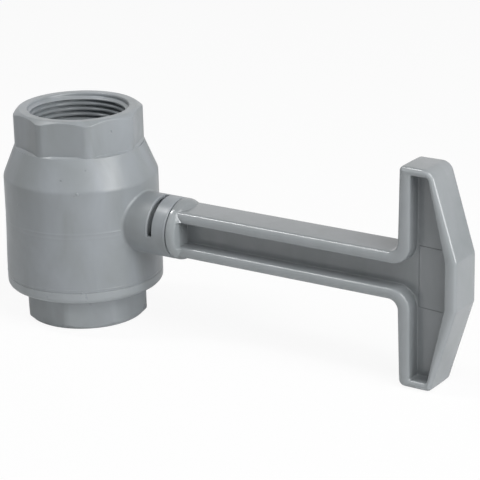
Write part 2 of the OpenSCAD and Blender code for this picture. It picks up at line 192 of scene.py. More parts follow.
# %% [markdown]
# ## The octagons and the threads
# A plumber's wrench holds the valve by two octagonal ends. The mould maker turns their corners to a
# round, so seen from above the outline is the smaller of an octagon and a circle. A soft minimum
# joins the two with the small radius that the real corner strips have.

# %% Outline of an octagonal end
COLUMNS = 384
turn_angle = np.arange(COLUMNS) * math.tau / COLUMNS
collar_half = 25.4
collar_corner_r = 27.0
outlet_half = 24.7
outlet_corner_r = 26.3
outlet_turn = math.radians(18)
one_flat = math.tau / 8


def octagon_radius(half, corner_r, turn=0.0, blend=0.12):
    """Distance from the axis to an octagon with turned corners, for every column.

    A flat lies half / cos(offset) away, where the offset counts from the middle of the flat. The
    soft minimum of that, a, and the corners' round, b, is -k ln(exp(-a/k) + exp(-b/k)), written
    here as b - k ln(exp((b-a)/k) + 1), where k is the blend.
    """
    offset = (turn_angle - turn) % one_flat - one_flat / 2
    flat = half / np.cos(offset)
    return corner_r - blend * np.log(np.exp((corner_r - flat) / blend) + 1)


collar = octagon_radius(collar_half, collar_corner_r)
outlet = octagon_radius(outlet_half, outlet_corner_r, outlet_turn)
print(f"inlet octagon from {collar.min():.2f} to {collar.max():.2f} mm")
print(f"outlet octagon from {outlet.min():.2f} to {outlet.max():.2f} mm")

# %% [markdown]
# A pipe thread is a groove that climbs by its pitch in one turn. On the grid it is one formula: the
# wall comes inwards where height divided by pitch, less the share of a turn, is near a whole number.
# The turns fade in at the mouth and out at the bottom, as the threaded core of the mould does.

# %% Rows of a threaded wall
pitch = 2.309
thread_depth = 1.48
root_share = 0.12
flank_share = 0.6
run_in_l = 1.6
run_out_l = 2.4


def thread_corners(top, bottom, samples=12):
    """Profile points down a threaded socket: r = root - depth * tooth * fade.

    The tooth is a triangle wave of the phase, z / pitch - angle / full turn, with its tip and its
    root rounded by the smooth step 3t^2 - 2t^3. The fade is the same step over the first and the
    last stretch. A turn has `samples` rows.
    """
    z = np.linspace(top, bottom, int(abs(top - bottom) / pitch * samples))[:, None]
    phase = (z / pitch - turn_angle[None] / math.tau) % 1
    wave = np.clip((1 - np.abs(2 * phase - 1) - root_share) / flank_share, 0, 1)
    tooth = wave ** 2 * (3 - 2 * wave)
    run_in = np.clip(np.abs(z - top) / run_in_l, 0, 1)
    run_out = np.clip(np.abs(z - bottom) / run_out_l, 0, 1)
    fade = np.minimum(run_in, run_out)
    r = socket_r - thread_depth * tooth * fade ** 2 * (3 - 2 * fade)
    return [(r[i], z[i, 0], 0) for i in range(len(z))]


# %% [markdown]
# ## The casing
# The casing is one moulding: a barrel that widens a little to the seam, a cone, and the octagonal
# inlet. One closed profile runs up the outside, over the mouth, down the thread and through the ball
# chamber back to the seam. The flats cut into the top of the cone and leave a small ledge there. The
# ledge is as wide as the difference between the cone's top and the octagon, so it runs out at the
# corners by itself, and so does the narrow chamfer in which each flat ends on it.

# %% Sizes of the casing
barrel_r = 32.3
flare_top = axis_z + 2
collar_foot = mouth_z - 15.3
barrel_top = collar_foot - 12.7
mouth_r = 21.3
seat_pocket_r = 22.5
seat_pocket_z = 20.49
bore_r = 16.0
chamber_r = 25.0
chamber_top = axis_z + 13.19
plug_bore_r = 27.5
print(f"cone from z {barrel_top:.2f} to {collar_foot:.2f} mm, barrel {2 * barrel_r:.1f} mm across")


# %% Barrel, chamfers and parting lines
def barrel_radius(z):
    """Radius of the barrel: it grows by a smooth step from the handle's axis down to the seam."""
    t = np.clip((flare_top - z) / (flare_top - seam_z - 1.5), 0, 1)
    return barrel_r + (seam_r - barrel_r) * t ** 2 * (3 - 2 * t)


def chamfer_z(outline, edge_r, corner_r, height, end, side):
    """Height at which the chamfer turned on an octagon's end meets its outline.

    The chamfer falls evenly by `height` from edge_r, where it leaves the end face, to corner_r. The
    side is 1 for an end that looks up and -1 for one that looks down.
    """
    share = np.clip((outline - edge_r) / (corner_r - edge_r), 0, 1)
    return end - side * height * share


def bead(z, height, half_width=0.15):
    """Three profile points of a fine raised line round the barrel, where two mould parts met."""
    return [(barrel_radius(z - half_width), z - half_width, 0), (barrel_radius(z) + height, z, 0),
            (barrel_radius(z + half_width), z + half_width, 0)]


# %% Skin of the casing
def casing_skin():
    """A closed profile for every column, from the seam up the outside and down the inside.

    A flat's foot is a chamfer 0.9 mm wide and 0.75 mm high. Both are multiplied by 0.9 times the
    ledge's width in millimetres, or by 1 where that is less, so that it runs out with the ledge.
    """
    ledge_r = collar_corner_r + 0.06
    foot_w = 0.9
    foot_h = 0.75
    foot_per_mm = 0.9
    foot = np.clip(foot_per_mm * (ledge_r - collar), 0, 1)
    rim_r = 24.6
    rim_h = 1.7
    rim_z = chamfer_z(collar, rim_r, collar_corner_r, rim_h, mouth_z, 1)
    low = [(barrel_radius(z), z, 0) for z in np.linspace(seam_z + 1.8, axis_z - 3.6, 11)]
    high = [(barrel_radius(z), z, 0) for z in np.linspace(axis_z + 0.3, barrel_top - 2, 8)]
    low_line = bead(seam_z + 1.3, 0.07)
    middle_lines = bead(axis_z - 2.5, 0.03) + bead(axis_z - 0.6, 0.05)
    barrel = low_line + low + middle_lines + high
    corners = [(seam_r, seam_z, 0.3)] + barrel + [
        (barrel_r, barrel_top, 4),
        (ledge_r, collar_foot, 0.15),
        (collar + foot_w * foot, collar_foot, 0.1),
        (collar, collar_foot + foot_h * foot, 0.1),
        (collar, rim_z, 0.5),
        (rim_r, mouth_z, 1.0),
        (mouth_r, mouth_z, 0.6),
        (socket_r, mouth_z - 0.7, 0),
    ] + thread_corners(mouth_z - 1, mouth_z - socket_l + 0.6) + [
        (socket_r, mouth_z - socket_l, 0.3),
        (bore_r, mouth_z - socket_l, 0.5),
        (bore_r, axis_z + seat_pocket_z, 0.2),
        (seat_pocket_r, axis_z + seat_pocket_z, 0),
        (seat_pocket_r, chamber_top, 0),
        (chamber_r, chamber_top, 0),
        (chamber_r, plug_top + 0.2, 0),
        (plug_bore_r, plug_top + 0.2, 0),
        (plug_bore_r, seam_z, 0.3),
    ]
    rows = soften(corners, COLUMNS)[0]
    return make_piece("casing_shell", around_flow(rows, turn_angle), grid_faces(len(rows), COLUMNS))


casing_shell = casing_skin()

# %% [markdown]
# The spindle leaves the ball chamber through the side of the barrel. The hole is cut with a Boolean,
# because a grid round the flow axis can't follow a circle round another axis. Its edge never shows:
# the neck covers it outside and the ball's chamber is closed inside.

# %% Hole for the neck
def cut_away(piece, cutter):
    """Subtracts the cutter from the piece's own mesh, then removes the cutter.

    The crisp edges are marked anew, because the cut makes edges of its own.
    """
    cut = piece.modifiers.new("cut", "BOOLEAN")
    cut.operation = "DIFFERENCE"
    cut.solver = "EXACT"
    cut.object = cutter
    bpy.context.view_layer.update()
    evaluated = piece.evaluated_get(bpy.context.evaluated_depsgraph_get())
    result = bpy.data.meshes.new_from_object(evaluated)
    piece.modifiers.remove(cut)
    result.shade_smooth()
    result.set_sharp_from_angle(angle=CRISP_ANGLE)
    piece.data = result
    bpy.data.objects.remove(cutter)
    print(f"{piece.name}: {len(result.polygons)} faces after the cut")


hole_r = 11.2
hole_near = 18
hole_far = 40
HOLE_COLUMNS = 96
hole_angle = np.arange(HOLE_COLUMNS) * math.tau / HOLE_COLUMNS
hole_corners = [(0, hole_near, 0), (hole_r, hole_near, 0), (hole_r, hole_far, 0), (0, hole_far, 0)]
hole_rows = soften(hole_corners, HOLE_COLUMNS, closed=False)[0]
hole_cutter = make_piece("hole_cutter", around_handle(hole_rows, hole_angle),
                         grid_faces(len(hole_rows), HOLE_COLUMNS, wrap_rows=False))
cut_away(casing_shell, hole_cutter)

# %% [markdown]
# Moulded parts carry small marks: a nub where the gate was twisted off, specks that the tool left,
# a pit on one flat. Each is a flattened ball that sits half in the wall, at an angle round the flow
# axis and a height over the outlet.

# %% Small marks of the mould
def pebbles(name, places, levels=9, spokes=16):
    """One piece of flattened balls. A place is (centre, outward direction, radius, height).

    A ball's point is centre + radius cos(b) (cos(t) side + sin(t) across) + height sin(b) out, with
    b the bend from pole to pole and t the turn round the outward direction.
    """
    bend = np.radians(np.linspace(-90, 90, levels))[:, None]
    turn = np.arange(spokes) * math.tau / spokes
    points = []
    for centre, outward, radius, height in places:
        out = np.array(outward) / np.linalg.norm(outward)
        side = np.cross(out, (0.1, 0.2, 1))
        side = side / np.linalg.norm(side)
        across = np.cross(out, side)
        ball = (np.cos(bend) * np.cos(turn))[..., None] * side * radius
        ball = ball + (np.cos(bend) * np.sin(turn))[..., None] * across * radius
        ball = ball + (np.sin(bend) * np.ones(spokes))[..., None] * out * height
        points.append(ball + np.array(centre))
    faces = grid_faces(levels, spokes, wrap_rows=False).reshape(-1, 4)
    faces = np.concatenate([faces + levels * spokes * i for i in range(len(places))])
    return make_piece(name, np.array(points), faces)


def on_casing(degrees, z, radius, height, r=None):
    """A place on the barrel, or at distance r, that looks straight outwards."""
    a = math.radians(degrees)
    r = barrel_radius(z) if r is None else r
    return (r * math.cos(a), r * math.sin(a), z), (math.cos(a), math.sin(a), 0), radius, height


casing_marks = pebbles("casing_marks", [
    on_casing(-55.8, axis_z + 16.7, 0.7, 0.3),
    on_casing(-57.6, axis_z + 16.2, 0.4, 0.15),
    on_casing(-105.9, axis_z + 16.5, 0.5, 0.16, 32.1),
    on_casing(-102.0, axis_z + 16.9, 0.45, 0.14, 32.0),
    on_casing(-107.0, axis_z + 9.2, 0.6, 0.1),
    on_casing(-67.9, axis_z + 21.9, 0.6, 0.12, 30.3),
    on_casing(-48.1, axis_z + 25.5, 0.6, 0.12, 28.8),
    on_casing(-55.5, seam_z + 0.1, 0.45, 0.12),
    on_casing(-81.7, seam_z - 2.1, 0.5, 0.12),
])
pit_cutter = pebbles("pit_cutter", [on_casing(-22.0, axis_z + 39.5, 0.65, 0.3, collar_half)])
cut_away(casing_shell, pit_cutter)

# %% [markdown]
# ## The neck and its stop slot
# The neck holds the handle's stub. A slot over a good quarter of its round, just behind the rim, lets
# a lug on the stub travel between open and shut. The neck is a tube on a grid with a window: the
# quads inside the window are left out of the outer and the inner wall, and four strips join the two
# walls round it. A bevel then gives the slot the soft lips that catch the light.

# %% Sizes of the neck
neck_r = 12.7
stub_bore_r = 9.6
gland_r = 8.0
gland_x = 28.55
gland_end = 36.95
slot_width = 2.3
slot_lip = 0.6
lug_groove_r = 11.3
lug_groove_x = 40.6
slot_ring = 6.5
slot_x = neck_end - slot_ring - slot_width
slot_end = neck_end - slot_ring
slot_from = math.radians(-6.5)
slot_to = math.radians(96.5)
SLOT_COLUMNS = 72
neck_angle = np.concatenate([
    np.linspace(slot_from, slot_to, SLOT_COLUMNS + 1),
    np.linspace(slot_to, slot_from + math.tau, 181)[1:-1],
])
print(f"slot from x {slot_x:.2f} to {slot_end:.2f} mm, neck to {neck_end:.2f} mm")


# %% Neck with its window
def barrel_face(r):
    """x of the barrel's outside at distance r from the neck's axis: sqrt(R^2 - y^2)."""
    y = r * np.cos(neck_angle)
    z = axis_z + r * np.sin(neck_angle)
    return np.sqrt(barrel_radius(z) ** 2 - y ** 2)


def neck_skin():
    """A closed profile round the handle's axis: base, fillet, outer wall, stub bore and gland.

    The fillet is a quarter circle of radius f that lands on the barrel: r = neck + f (1 - cos b) and
    x = barrel + f (1 - sin b). Counted from 0, the wall's corners 1 and 2 are the slot's two sides
    outside, and its corners 7 and 8 are the same two inside, in the opposite order.
    """
    fillet = 0.9
    buried = 1.2
    inner_step = 2.4
    base_x = gland_x - 2.5
    base_r = hole_r + 0.3
    base = [
        (gland_r + inner_step, base_x, 0),
        (base_r, base_x, 0),
        (base_r, barrel_face(base_r) - buried, 0),
        (neck_r + 0.6 * fillet, barrel_face(neck_r) - buried, 0),
    ]
    root = []
    for bend in np.radians(np.linspace(86, 0, 7)):
        r = neck_r + fillet * (1 - math.cos(bend))
        root.append((r, barrel_face(r) + fillet * (1 - math.sin(bend)), 0))
    wall = [
        (neck_r, slot_x - 1, 0),
        (neck_r, slot_x, 0),
        (neck_r, slot_end, 0),
        (neck_r, slot_end + 1, 0),
        (neck_r, neck_end, 0.6),
        (stub_bore_r, neck_end, 0.25),
        (stub_bore_r, slot_end, 0),
        (lug_groove_r, slot_end, 0),
        (lug_groove_r, slot_x, 0),
        (lug_groove_r, lug_groove_x, 0),
        (stub_bore_r, lug_groove_x, 0),
        (stub_bore_r, gland_end, 0),
        (gland_r, gland_end, 0),
        (gland_r, gland_x, 0),
        (gland_r + inner_step, gland_x, 0),
    ]
    columns = len(neck_angle)
    rows, first = soften(base + root + wall, columns)
    near, far, inner_far, inner_near = (first[len(base + root) + i] for i in (1, 2, 7, 8))
    faces = grid_faces(len(rows), columns)
    kept = np.ones(faces.shape[:2], bool)
    kept[near, :SLOT_COLUMNS] = False
    kept[inner_far, :SLOT_COLUMNS] = False
    span = np.arange(SLOT_COLUMNS)
    sides = [np.stack([a * columns + span, a * columns + span + 1, b * columns + span + 1,
                       b * columns + span], -1) for a, b in ((near, inner_near), (far, inner_far))]
    ends = [np.array([[near, far, inner_far, inner_near]]) * columns + j for j in (0, SLOT_COLUMNS)]
    faces = np.concatenate([faces[kept]] + sides + ends)
    return make_piece("casing_neck", around_handle(rows, neck_angle), faces)


casing_neck = neck_skin()


# %% Soft lips of the slot
def soften_slot(piece):
    """Marks the slot's edges on the outside and bevels them, less on the side towards the handle."""
    close_mm = 0.01
    close_angle = 0.001
    handle_side_share = 0.6
    place = np.zeros(3 * len(piece.data.vertices))
    piece.data.vertices.foreach_get("co", place)
    x, y, z = place.reshape(-1, 3).T / MM
    r = np.hypot(y, z - axis_z)
    around = np.arctan2(z - axis_z, -y)
    in_slot = (around > slot_from - close_angle) & (around < slot_to + close_angle)
    on_lip = (np.abs(r - neck_r) < close_mm) & in_slot
    wide = on_lip & (np.abs(x - slot_x) < close_mm)
    narrow = on_lip & (np.abs(x - slot_end) < close_mm)
    edges = np.zeros(2 * len(piece.data.edges), int)
    piece.data.edges.foreach_get("vertices", edges)
    start, end = edges.reshape(-1, 2).T
    share = np.zeros(len(piece.data.edges))
    share[narrow[start] & narrow[end]] = handle_side_share
    share[wide[start] & wide[end]] = 1
    weight = piece.data.attributes.new("bevel_weight_edge", "FLOAT", "EDGE")
    weight.data.foreach_set("value", share)
    lips = piece.modifiers.new("soft lips", "BEVEL")
    lips.width = slot_lip * MM
    lips.segments = 4
    lips.limit_method = "WEIGHT"
    print(f"{piece.name}: {int((share > 0).sum())} edges of the slot are softened")


soften_slot(casing_neck)

# %% [markdown]
# ## The end piece
# The lower end is a second moulding, screwed into the casing: a rounded flange below the seam, the
# outlet octagon, and inside the casing a plug that carries the lower seat. Screwing it home left its
# octagon turned by 18 degrees against the inlet's. It is the same kind of closed profile.

# %% Skin of the end piece
flange_t = 4.8
flange_round = 4.0
plug_r = 27.45
seal_groove_mid = axis_z - 22.6
seal_groove_half = 1.2
seal_groove_r = 25.1


def end_piece_skin():
    """A closed profile for every column, from the seam down the outside and up the inside.

    The chamfer on the octagon's lower end is as high as it is deep, that is at 45 degrees.
    """
    edge_h = 1.8
    edge_r = outlet_corner_r - edge_h
    foot_z = seam_z - flange_t
    edge_z = chamfer_z(outlet, edge_r, outlet_corner_r, edge_h, 0, -1)
    corners = [
        (plug_r, seam_z, 0),
        (seam_r, seam_z, 0.25),
        (seam_r, foot_z, flange_round),
        (outlet, foot_z, 0.5),
        (outlet, edge_z + 0.3, 0.8),
        (np.minimum(outlet, edge_r) - 0.3, 0, 0.5),
        (mouth_r, 0, 0.3),
        (socket_r, 0.7, 0),
    ] + thread_corners(1, socket_l - 0.6) + [
        (socket_r, socket_l, 0.3),
        (bore_r, socket_l, 0.5),
        (bore_r, axis_z - seat_pocket_z, 0.2),
        (seat_pocket_r, axis_z - seat_pocket_z, 0),
        (seat_pocket_r, plug_top, 0.2),
        (plug_r, plug_top, 0.4),
        (plug_r, seal_groove_mid + seal_groove_half, 0),
        (seal_groove_r, seal_groove_mid + seal_groove_half, 0),
        (seal_groove_r, seal_groove_mid - seal_groove_half, 0),
        (plug_r, seal_groove_mid - seal_groove_half, 0),
    ]
    rows = soften(corners, COLUMNS)[0]
    return make_piece("end_piece_shell", around_flow(rows, turn_angle), grid_faces(len(rows), COLUMNS))


end_piece_shell = end_piece_skin()

# %% [markdown]
# ## The T-handle
# The handle is one moulding too. Its grip is a T-shaped plate with a rounded outer edge, and a
# hollow on each face leaves a rim round a thin web. Seen from the side, every level of it is the
# same T, moved inwards or outwards by some distance. So the whole skin is one grid: one parameter
# runs round the T and the other runs from the middle of the edge over the rim and down to the web.

# %% Corners of the T
grip_x = neck_end + 0.9
hollow_x = grip_x + 3
far_x = handle_high[0]
bar_x = far_x - 25.6
stem_half = 9.75
bar_half = (handle_high[2] - handle_low[2]) / 2
tip_x = bar_x + 14.8
crown_half = 9.6
crotch_r = 4.0
hollow_half = 5.05
end_rim = 3.3
half_web = 2.0


def t_corners(lower, upper_radii):
    """Corners (x, z, radius) of the lower half, then their mirror images with radii of their own."""
    upper = [(x, -z, radius) for (x, z, old), radius in zip(lower, upper_radii)]
    return np.array(lower + upper[::-1])


outer_side = t_corners([
    (grip_x, -stem_half, 0.2),
    (bar_x, -stem_half, crotch_r),
    (bar_x + 0.8, -bar_half, 2.8),
    (tip_x, -bar_half, 2.3),
    (far_x, -crown_half, 4),
], [0.2, crotch_r, 1.9, 5, 4])
hollow_side = t_corners([
    (hollow_x, -hollow_half, 0.2),
    (bar_x + 5.6, -hollow_half, 8),
    (bar_x + 5.8, end_rim - bar_half, 0.8),
    (tip_x - 1.7, end_rim - bar_half, 1.2),
    (far_x - 5.2, -crown_half, 3),
], [0.2, 8, 0.8, 1.2, 3])
print(f"bar {2 * bar_half:.1f} mm long, web {2 * half_web:.1f} mm thick")


# %% Move an outline inwards
def inset(corners, distance):
    """Moves a closed outline inwards by each distance and returns corners for `soften`.

    A corner slides along the line that halves its angle, by distance / sin(half angle). One that
    points outwards loses the distance from its radius, and one that points inwards gains it.
    """
    least_radius = 0.15
    points = corners[:, :2]
    before = np.roll(points, 1, 0) - points
    after = np.roll(points, -1, 0) - points
    u = before / np.linalg.norm(before, axis=1, keepdims=True)
    v = after / np.linalg.norm(after, axis=1, keepdims=True)
    half = np.arccos((u * v).sum(1)) / 2
    outward = np.sign(v[:, 0] * u[:, 1] - v[:, 1] * u[:, 0])
    middle = (u + v) / np.linalg.norm(u + v, axis=1, keepdims=True)
    shift = middle * (outward / np.sin(half))[:, None]
    moved = points[:, None] + shift[:, None] * distance[None, :, None]
    radius = np.maximum(least_radius, corners[:, 2:] - outward[:, None] * distance)
    return [(moved[i, :, 0], moved[i, :, 1], radius[i]) for i in range(len(corners))]


# %% Skin of the grip
def grip_skin():
    """One front half, edge to rim to hollow, and its mirror image behind, closed by two floors.

    The rims are crowned: between edge and lip, at the share t of their width W, they stand
    W tan(tilt) / 4 * (2t - 1)^2 below their crest, so that edge and lip start with the slope `tilt`.
    Each list pairs a distance inwards from the outline (in) with a distance from the middle (y). The
    edge's round, the rim and the lip follow the crown, and the straight side and the web don't.
    """
    straight_levels = 3
    half_t = 8.55
    edge_r = 1.7
    lip_r = 1.1
    floor_r = 0.4
    draft = 0.1
    hollow_draft = 0.2
    tilt = math.radians(18)
    bend = np.linspace(0, math.pi / 2 - tilt, 7)
    edge_in = np.concatenate([[0, 0.03, 0.07, draft], draft + edge_r * (1 - np.cos(bend))])
    edge_y = np.concatenate([[0, 3, 5.5, half_t - edge_r - 0.3],
                             half_t - edge_r * (math.cos(tilt) - np.sin(bend))])
    fold = np.linspace(tilt, math.pi / 2, 7)
    foot = np.radians(np.linspace(0, 90, 5))
    hollow_in = np.concatenate([-lip_r * (1 - np.sin(fold)), [0.02, 0.18],
                                hollow_draft + floor_r * (1 - np.cos(foot)),
                                [hollow_draft + floor_r + 0.4]])
    hollow_y = np.concatenate([half_t - lip_r * (math.cos(tilt) - np.cos(fold)),
                               [half_t - lip_r - 0.3, half_web + floor_r + 0.3],
                               half_web + floor_r * (1 - np.sin(foot)), [half_web]])
    outer_rows = soften(inset(outer_side, edge_in), len(edge_in), steps=10, hold=1)[0]
    inner_rows = soften(inset(hollow_side, hollow_in), len(hollow_in), steps=10, hold=1)[0]
    edge_line = outer_rows[:, -1:]
    rim = inner_rows[:, :1] - edge_line
    fall = np.linalg.norm(rim, axis=2) * math.tan(tilt) / 4
    t = np.arange(1, 8) / 8
    front = np.concatenate([outer_rows, edge_line + rim * t[None, :, None], inner_rows], 1)
    low = np.concatenate([np.zeros(straight_levels), np.ones(len(edge_y) - straight_levels),
                          (2 * t - 1) ** 2, np.ones(len(fold) + 1), np.zeros(len(foot) + 2)])
    y = np.concatenate([edge_y, np.full(len(t), half_t), hollow_y]) - low * fall
    both = np.concatenate([front[:, :0:-1], front], 1)
    both_y = np.concatenate([-y[:, :0:-1], y], 1)
    points = np.stack([both[..., 0], -both_y, axis_z + both[..., 1]], -1)
    around, levels = both.shape[:2]
    skin = grid_faces(around, levels, wrap_columns=False).reshape(-1, 4)
    j = np.arange(around // 2 - 1)
    floors = [np.stack([j, j + 1, around - 2 - j, around - 1 - j], -1) * levels + level
              for level in (0, levels - 1)]
    return make_piece("handle_grip", points, np.concatenate([skin] + floors))


handle_grip = grip_skin()

# %% [markdown]
# The middle of the web was moulded by an insert of its own, which leaves a fine joint line on three
# sides of a rectangle. The lines are grooves cut by slim boxes. One knob marks an ejector pin.

# %% Joint lines of the mould insert
def web_grooves(lines, width=0.28, depth=0.22, above=0.4):
    """Boxes along lines on the front of the web: each runs from (x, z) to (x, z) over the axis."""
    points = []
    for x0, z0, x1, z1 in lines:
        along = np.array([x1 - x0, z1 - z0])
        across = np.array([-along[1], along[0]]) / np.linalg.norm(along) * width / 2
        ring = [np.array([x0, z0]) - across, np.array([x1, z1]) - across,
                np.array([x1, z1]) + across, np.array([x0, z0]) + across]
        for y in (-half_web - above, -half_web + depth):
            points.append([(x, y, axis_z + z) for x, z in ring])
    block = np.array([[0, 1, 2, 3], [7, 6, 5, 4], [0, 4, 5, 1], [1, 5, 6, 2], [2, 6, 7, 3],
                      [3, 7, 4, 0]])
    faces = np.concatenate([block + 8 * i for i in range(len(lines))])
    return make_piece("groove_cutter", np.array(points), faces)


insert_x = bar_x + 6.6
cut_away(handle_grip, web_grooves([
    (insert_x, -12.6, insert_x, 12.0),
    (insert_x + 0.2, -12.7, far_x - 8, -13.2),
    (insert_x + 0.2, 12.1, far_x - 8, 11.8),
]))
knob_centre = (insert_x - 2.4, -half_web, axis_z - 40.4)
handle_marks = pebbles("handle_marks", [(knob_centre, (0, -1, 0), 0.9, 0.4)])

# %% [markdown]
# The hub closes the neck with a thin gap and ends in a low dome, which the cores that mould the
# hollows cut off square. The stub behind it turns in the neck and holds the spindle's square end. A
# groove round the stub lies behind the slot and keeps it dark. All of it is one grid round the
# handle's axis, and only the dome and the square hole depend on the angle.

# %% Sizes of the hub and the stub
hub_x = neck_end + 0.4
nose_x = hub_x + 1
nose_l = 7.0
nose_cut = hollow_x + 0.3
stub_x = handle_low[0]
stub_r = 9.52
stub_groove_r = 7.9
stub_groove_side = 0.8
drive_half = 4.55
drive_end = gland_end + 10.9
lug_half = math.radians(6)
lug_r = stub_r + 1.7
lug_play = 0.2
print(f"stub from x {stub_x:.2f} mm, gap to the neck {hub_x - neck_end:.2f} mm")


# %% Hub and stub
def hub_skin(columns=360):
    """The dome is an ellipse, x = nose + length * sin(bend) at r = radius * cos(bend).

    Where it stands above the cut by h, within the hollow's height, it loses k ln(1 + exp(h/k)), which
    is h itself with a soft start. The loss fades out over 0.6 mm outside the hollow. The square hole
    lies half / max(|cos a|, |sin a|) from the axis.
    """
    soft = 0.25
    fade_l = 0.6
    angle = np.arange(columns) * math.tau / columns
    square = drive_half / np.maximum(np.abs(np.cos(angle)), np.abs(np.sin(angle)))
    bend = np.radians(np.linspace(0, 90, 80))[:, None]
    r = neck_r * np.cos(bend)
    dome = nose_x + nose_l * np.sin(bend)
    t = np.clip((np.abs(r * np.sin(angle)) - hollow_half) / fade_l, 0, 1)
    inside = 1 - t ** 2 * (3 - 2 * t)
    x = dome - inside * soft * np.log(1 + np.exp((dome - nose_cut) / soft))
    nose = [(r[i, 0], x[i], 0) for i in range(len(bend))]
    corners = [
        (0, drive_end, 0),
        (square, drive_end, 0),
        (square, stub_x, 0),
        (stub_r, stub_x, 0.4),
        (stub_r, slot_x - stub_groove_side, 0),
        (stub_groove_r, slot_x - stub_groove_side, 0),
        (stub_groove_r, slot_end + stub_groove_side, 0),
        (stub_r, slot_end + stub_groove_side, 0),
        (stub_r, hub_x, 0),
        (neck_r, hub_x, 0.5),
    ] + nose
    rows = soften(corners, columns, closed=False)[0]
    return make_piece("handle_hub", around_handle(rows, angle),
                      grid_faces(len(rows), columns, wrap_rows=False))


handle_hub = hub_skin()


# %% Stop lug
def lug_skin():
    """A block bent round the handle's axis: four corners carried over the lug's angle, two ends."""
    angle = np.linspace(-lug_half, lug_half, 13) + math.radians(90)
    lug_foot_r = stub_groove_r - 0.5
    lug_near = slot_x + lug_play
    lug_far = slot_end - lug_play
    corners = [(lug_foot_r, lug_near, 0), (lug_r, lug_near, 0), (lug_r, lug_far, 0),
               (lug_foot_r, lug_far, 0)]
    rows = soften(corners, len(angle))[0]
    wall = grid_faces(4, len(angle), wrap_columns=False).reshape(-1, 4)
    ends = np.array([[0, 1, 2, 3]]) * len(angle) + np.array([[0], [len(angle) - 1]])
    piece = make_piece("handle_lug", around_handle(rows, angle), np.concatenate([wall, ends]))
    edge = piece.modifiers.new("soft edges", "BEVEL")
    edge.width = 0.2 * MM
    edge.segments = 3
    edge.limit_method = "ANGLE"
    return piece


handle_lug = lug_skin()

# %% [markdown]
# ## Finishes
# A material starts from what the real one is. Every visible piece here is injection moulded, so the
# surface is a copy of steel: smooth, satin, with faint clouds where the melt met cooler metal and a
# fine grain from the tool. One helper turns hex colours to linear light, and one adds a node. The
# end piece comes from a mould of its own, and its colour is painted a touch lighter than the
# casing's: painted light for the light from below that reaches its low faces. The handle is glossier
# than both, because hands and the mould's polish keep it so, and its rims get painted light too.

# %% Helpers for materials
def linear(code):
    """Linear colour of an sRGB hex code: c / 12.92 up to 0.04045, else ((c + 0.055) / 1.055) ^ 2.4."""
    c = np.array([int(code[i:i + 2], 16) for i in (1, 3, 5)]) / 255
    rgb = np.where(c <= 0.04045, c / 12.92, ((c + 0.055) / 1.055) ** 2.4)
    return (*rgb.tolist(), 1.0)


def add(tree, kind, inputs=(), **settings):
    """Adds a node with its settings. Each input is (socket, value), and a socket as value is linked."""
    node = tree.nodes.new(kind)
    for key, value in settings.items():
        setattr(node, key, value)
    for key, value in inputs:
        if isinstance(value, bpy.types.NodeSocket):
            tree.links.new(value, node.inputs[key])
        else:
            node.inputs[key].default_value = value
    return node


def new_material(name):
    """An empty node tree with its output, and the Object coordinates in metres."""
    material = bpy.data.materials.new(name)
    material.use_nodes = True
    tree = material.node_tree
    tree.nodes.clear()
    output = tree.nodes.new("ShaderNodeOutputMaterial")
    place = tree.nodes.new("ShaderNodeTexCoord").outputs["Object"]
    return material, tree, output, place


